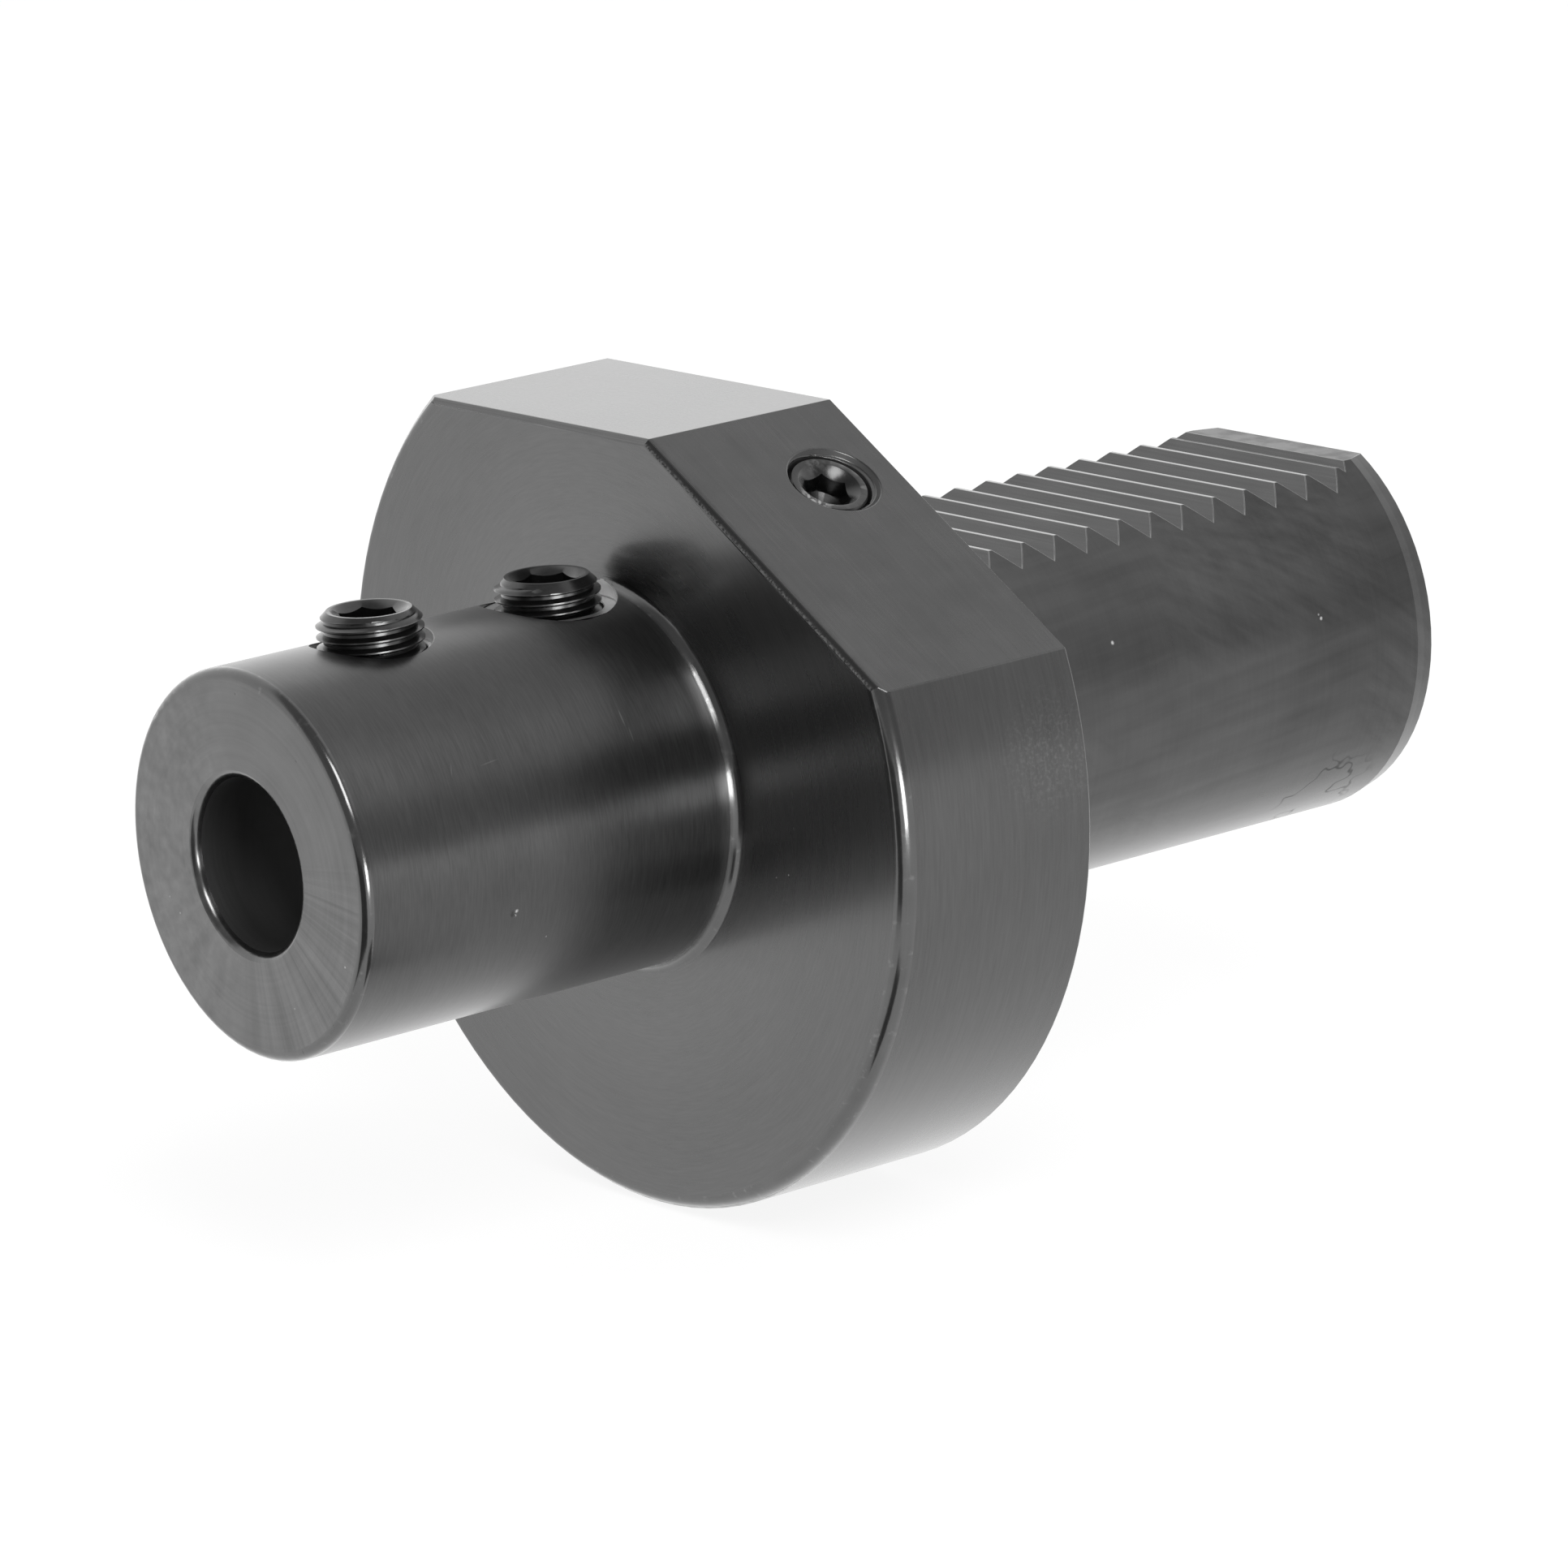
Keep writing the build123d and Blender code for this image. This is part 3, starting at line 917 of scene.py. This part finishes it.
# Screws

COLUMNS = 120

# A thread's depth, and its crest's and flank's lengths along the axis, as shares of the pitch
THREAD_DEPTH = 0.6134
CREST = 0.125
FLANK = 0.3125
# How far the crest is inside the thread's nominal radius
PLAY = 0.1


def thread_radius(height, turn, radius, pitch):
    """The radius of a right-hand thread at a height and an angle round its axis."""
    phase = (height / pitch - turn / (2.0 * pi)) % 1.0
    if phase < CREST:
        share = 0.0
    elif phase < CREST + FLANK:
        share = (phase - CREST) / FLANK
    elif phase < 1.0 - FLANK:
        share = 1.0
    else:
        share = (1.0 - phase) / FLANK
    return radius - THREAD_DEPTH * pitch * share


def threaded_screw(
    name, radius, length, pitch, chamfer, rim, lead, socket, depth, point, turn, start,
):
    """A socket set screw along Z with its top at 0, in millimetres.

    rim is the outer radius of the cone into the socket and lead its slope. socket is the width
    across the socket's flats, and point the radius of the screw's point. turn is the socket's
    turn, and start the angle at which the thread's crest comes up to the top."""
    points, faces = [], []
    steps = (0.0, 0.0625, 0.125, 0.203, 0.281, 0.359, 0.4375, 0.5625, 0.6875, 0.766, 0.844, 0.922)
    turns = ceil(length / pitch) + 2
    levels = [pitch * (j + s) for j in range(-turns, 2) for s in steps]
    angles = [2.0 * pi * i / COLUMNS for i in range(COLUMNS)]
    lag = (turn - start + pi) % (2.0 * pi) - pi

    def column(values):
        start_index = len(points)
        for angle, (away, height) in zip(angles, values):
            points.append((away * cos(angle), away * sin(angle), height))
        return start_index

    def join(low, high):
        for i in range(COLUMNS):
            j = (i + 1) % COLUMNS
            faces.append((low + i, low + j, high + j, high + i))

    # The thread: rows that climb one pitch a turn, held between the screw's two ends
    rows = []
    for level in levels:
        values = []
        for angle in angles:
            height = min(max(level + pitch * (angle + lag) / (2.0 * pi), -length), 0.0)
            away = thread_radius(height, angle + lag, radius - PLAY, pitch)
            away = min(away, radius - chamfer - height, point + length + height)
            values.append((away, height))
        rows.append(column(values))
    per_turn = len(steps)
    for low, high in zip(rows, rows[1:]):
        for i in range(COLUMNS - 1):
            faces.append((low + i, low + i + 1, high + i + 1, high + i))
    for k in range(len(rows) - 1 - per_turn):
        last, first = rows[k] + COLUMNS - 1, rows[k + per_turn]
        faces.append((last, first, rows[k + per_turn + 1], rows[k + 1] + COLUMNS - 1))

    # The top: a flat ring, a cone into the socket, and the socket's walls
    sizes = []
    for angle in angles:
        part = (angle + pi / 6.0) % (pi / 3.0) - pi / 6.0
        sizes.append(socket / 2.0 / cos(part))
    lip = 0.06
    slope = tan(lead)
    hole = socket / 2.0 * 0.98
    ring = [
        column([(radius - chamfer, 0.0)] * COLUMNS),
        column([(rim + lip, 0.0)] * COLUMNS),
        column([(rim, -lip * 0.4)] * COLUMNS),
        column([(size + 0.05, -(rim - size) * slope) for size in sizes]),
        column([(size, -(rim - size) * slope - 0.06) for size in sizes]),
        column([(size, -depth) for size in sizes]),
        column([(hole, -depth)] * COLUMNS),
        column([(0.05, -depth - hole * tan(radians(30.0)))] * COLUMNS),
    ]
    for a, b in zip(ring, ring[1:]):
        join(a, b)
    faces.append(tuple(range(ring[-1], ring[-1] + COLUMNS)))

    # The point
    end = column([(point, -length)] * COLUMNS)
    faces.append(tuple(reversed(range(end, end + COLUMNS))))

    mesh = bpy.data.meshes.new(name)
    mesh.from_pydata([Vector(p) * MM for p in points], [], faces)
    work = bmesh.new()
    work.from_mesh(mesh)
    bmesh.ops.remove_doubles(work, verts=work.verts, dist=0.0005 * MM)
    bmesh.ops.dissolve_degenerate(work, edges=work.edges, dist=0.0005 * MM)
    bmesh.ops.recalc_face_normals(work, faces=work.faces)
    bmesh.ops.rotate(work, verts=work.verts, matrix=Matrix.Rotation(turn, 3, "Z"))
    for face in work.faces:
        face.smooth = True
    work.to_mesh(mesh)
    work.free()
    mesh.set_sharp_from_angle(angle=radians(32.0))
    return add_object(name, mesh)


def make_screws():
    metal = screw_steel("screw_steel", 0.048, 0.16)
    for which, body, node_name in (
        (0, "front_screw", "clamp_screw_front"), (1, "rear_screw", "clamp_screw_rear"),
    ):
        piece = threaded_screw(
            node_name + "_threaded", radius=5.0, length=12.0, pitch=1.0, chamfer=1.1, rim=3.55,
            lead=radians(30.0), socket=5.0, depth=5.0, point=3.5, turn=SCREW_TURN[which],
            start=THREAD_START[which],
        )
        top = Vector((SCREW_X[which], 0.0, SCREW_TOP[which])) * MM
        piece.data.transform(Matrix.Translation(top))
        piece.data.materials.append(metal)
        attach(piece, body)
        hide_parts(node_name)


def make_plug():
    piece = threaded_screw(
        "coolant_plug_threaded", radius=4.0, length=5.0, pitch=1.0, chamfer=0.4, rim=2.95,
        lead=radians(42.0), socket=4.0, depth=2.5, point=3.5, turn=PLUG_TURN, start=0.0,
    )
    axes = Matrix((X_AXIS, SIDE_ALONG, SIDE_NORMAL)).transposed().to_4x4()
    top = SIDE_NORMAL * (SIDE_FLAT - PLUG_RECESS) + X_AXIS * PLUG_X
    piece.data.transform(Matrix.Translation(top * MM) @ axes)
    sheen_and_wear = top - X_AXIS * 2.5 - SIDE_ALONG * 1.4
    far = top + X_AXIS * 0.5 + SIDE_ALONG * 3.1
    piece.data.materials.append(
        screw_steel("plug_steel", 0.038, 0.24, (sheen_and_wear, 2.2, 0.45), (far, 1.6, 0.06))
    )
    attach(piece, "holder")
    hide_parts("coolant_plug")


def make_seal():
    """The rubber ring, a rectangle with rounded corners taken round the axis."""
    low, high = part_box("shank_seal")
    start, end, outer = low.x, high.x, high.z
    inner = outer - SEAL_DEPTH * MM
    round_off = SEAL_ROUND * MM
    section = []
    for centre_x, centre_r, first in (
        (end - round_off, outer - round_off, 0.0), (start + round_off, outer - round_off, 90.0),
        (start + round_off, inner + round_off, 180.0), (end - round_off, inner + round_off, 270.0),
    ):
        for k in range(7):
            angle = radians(first + 15.0 * k)
            section.append((centre_x + round_off * cos(angle), centre_r + round_off * sin(angle)))
    around = 160
    points, faces = [], []
    count = len(section)
    for i in range(around):
        angle = 2.0 * pi * i / around
        points += [(x, r * cos(angle), r * sin(angle)) for x, r in section]
        following = (i + 1) % around
        for k in range(count):
            after = (k + 1) % count
            faces.append((
                i * count + k, i * count + after, following * count + after, following * count + k,
            ))
    mesh = bpy.data.meshes.new("shank_seal_ring")
    mesh.from_pydata(points, [], faces)
    work = bmesh.new()
    work.from_mesh(mesh)
    bmesh.ops.recalc_face_normals(work, faces=work.faces)
    work.to_mesh(mesh)
    work.free()
    mesh.shade_smooth()
    piece = add_object("shank_seal_ring", mesh)
    mesh.materials.append(seal_rubber())
    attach(piece, "holder")
    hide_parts("shank_seal")


# Floor and light

def make_floor():
    """A floor that is pale in the picture and in reflections, and throws little light back."""
    mesh = bpy.data.meshes.new("floor")
    half = 6.0
    level = (LOWEST - 0.05) * MM
    mesh.from_pydata(
        [(-half, -half, level), (half, -half, level), (half, half, level), (-half, half, level)],
        [], [(0, 1, 2, 3)],
    )
    floor = add_object("floor", mesh)
    material, tree = blank("floor")
    path = node(tree, "LightPath")
    seen = maths(tree, "ADD", path.outputs["Is Camera Ray"], path.outputs["Is Glossy Ray"])
    seen = maths(tree, "ADD", seen, path.outputs["Is Transmission Ray"], clamp=True)
    glow = node(tree, "Emission", {
        "Color": (1.0, 1.0, 1.0, 1.0), "Strength": maths(tree, "MULTIPLY", seen, 0.88),
    })
    matt = node(tree, "BsdfDiffuse", {"Color": (0.18, 0.18, 0.18, 1.0)})
    both = node(tree, "AddShader", {0: glow.outputs[0], 1: matt.outputs[0]})
    node(tree, "OutputMaterial", {"Surface": both.outputs[0]})
    mesh.materials.append(material)


def make_world():
    """The studio: a white wall behind the object, light at its right and above it, and a dim
    front, which the steel mirrors."""
    world = bpy.data.worlds.new("studio")
    scene.world = world
    world.use_nodes = True
    tree = world.node_tree
    tree.nodes.clear()
    direction = node(tree, "TexCoord").outputs["Generated"]
    behind = node(
        tree, "VectorMath", {0: direction, 1: (0.617, 0.787, -0.15)}, operation="DOT_PRODUCT"
    ).outputs["Value"]
    x, y, z = node(tree, "SeparateXYZ", {0: direction}).outputs
    wall = spread(tree, behind, -0.32, -0.19, 0.34, 1.0)
    wall = maths(tree, "MULTIPLY", wall, spread(tree, z, 0.45, 0.75, 1.0, 0.0))
    right = maths(tree, "MULTIPLY", spread(tree, z, 0.30, 0.58), spread(tree, x, -0.10, 0.45))
    right = maths(tree, "MULTIPLY", right, spread(tree, y, -0.45, 0.25, 0.88, 0.72))
    roof = maths(tree, "MULTIPLY", spread(tree, z, 0.20, 0.50), spread(tree, y, 0.20, 0.55))
    level = maths(tree, "MAXIMUM", maths(tree, "MAXIMUM", wall, right), roof)
    level = maths(tree, "MAXIMUM", level, 0.28)
    background = node(tree, "Background", {"Color": (1.0, 1.0, 1.0, 1.0), "Strength": level})
    node(tree, "OutputWorld", {"Surface": background.outputs[0]})


def soft_lamp(name, place, width, height, radiance):
    """An area lamp that faces the object from a place, in metres."""
    data = bpy.data.lights.new(name, "AREA")
    data.shape = "RECTANGLE"
    data.size = width
    data.size_y = height
    data.energy = radiance * pi * width * height
    lamp = add_object(name, data)
    lamp.location = place
    lamp.rotation_mode = "QUATERNION"
    lamp.rotation_quaternion = Vector(place).to_track_quat("Z", "Y")
    lamp.visible_camera = False


def make_lamps():
    soft_lamp(
        "high_lamp", Vector((-0.28, -0.66, 0.70)) * 1.5, width=0.60, height=0.74, radiance=8.0
    )
    soft_lamp(
        "low_lamp", Vector((-0.085, -0.235, -0.012)), width=0.095, height=0.052, radiance=14.0
    )


def make_shade_cards():
    """Two low dark cards at the left front, which the camera doesn't see and which throw no
    shadow.
    They stand in for shade on the floor there, seen only in reflections, and draw the dark lines
    on the holder's edges."""
    centre = -30.0
    steps = 24
    points = []
    # Each card's inner and outer edge: its radius and height, and its first and last angle
    for reach, level, first, last in (
        (36.0, LOWEST + 0.5, 232.0, 262.0), (64.0, LOWEST + 0.5, 232.0, 262.0),
        (82.0, LOWEST + 0.5, 176.0, 222.0), (150.0, 2.0, 176.0, 222.0),
    ):
        for k in range(steps + 1):
            angle = radians(first + (last - first) * k / steps)
            points.append((centre + reach * cos(angle), reach * sin(angle), level))
    row = steps + 1
    faces = []
    for start in (0, 2 * row):
        faces += [(k, k + 1, k + row + 1, k + row) for k in range(start, start + steps)]
    mesh = bpy.data.meshes.new("shade_card")
    mesh.from_pydata([Vector(p) * MM for p in points], [], faces)
    shade_card = add_object("shade_card", mesh)
    material, tree = blank("shade_card")
    cloth = node(tree, "BsdfDiffuse", {"Color": (0.14, 0.14, 0.14, 1.0)})
    node(tree, "OutputMaterial", {"Surface": cloth.outputs[0]})
    mesh.materials.append(material)
    # Painted shade: dark sheets that only reflections see, put where the floor would lie in shade.
    shade_card.visible_camera = False
    shade_card.visible_diffuse = False
    shade_card.visible_shadow = False


make_camera()
make_floor()
make_world()
make_lamps()
make_shade_cards()
make_holder()
make_screws()
make_plug()
make_seal()

scene.view_settings.view_transform = "Standard"
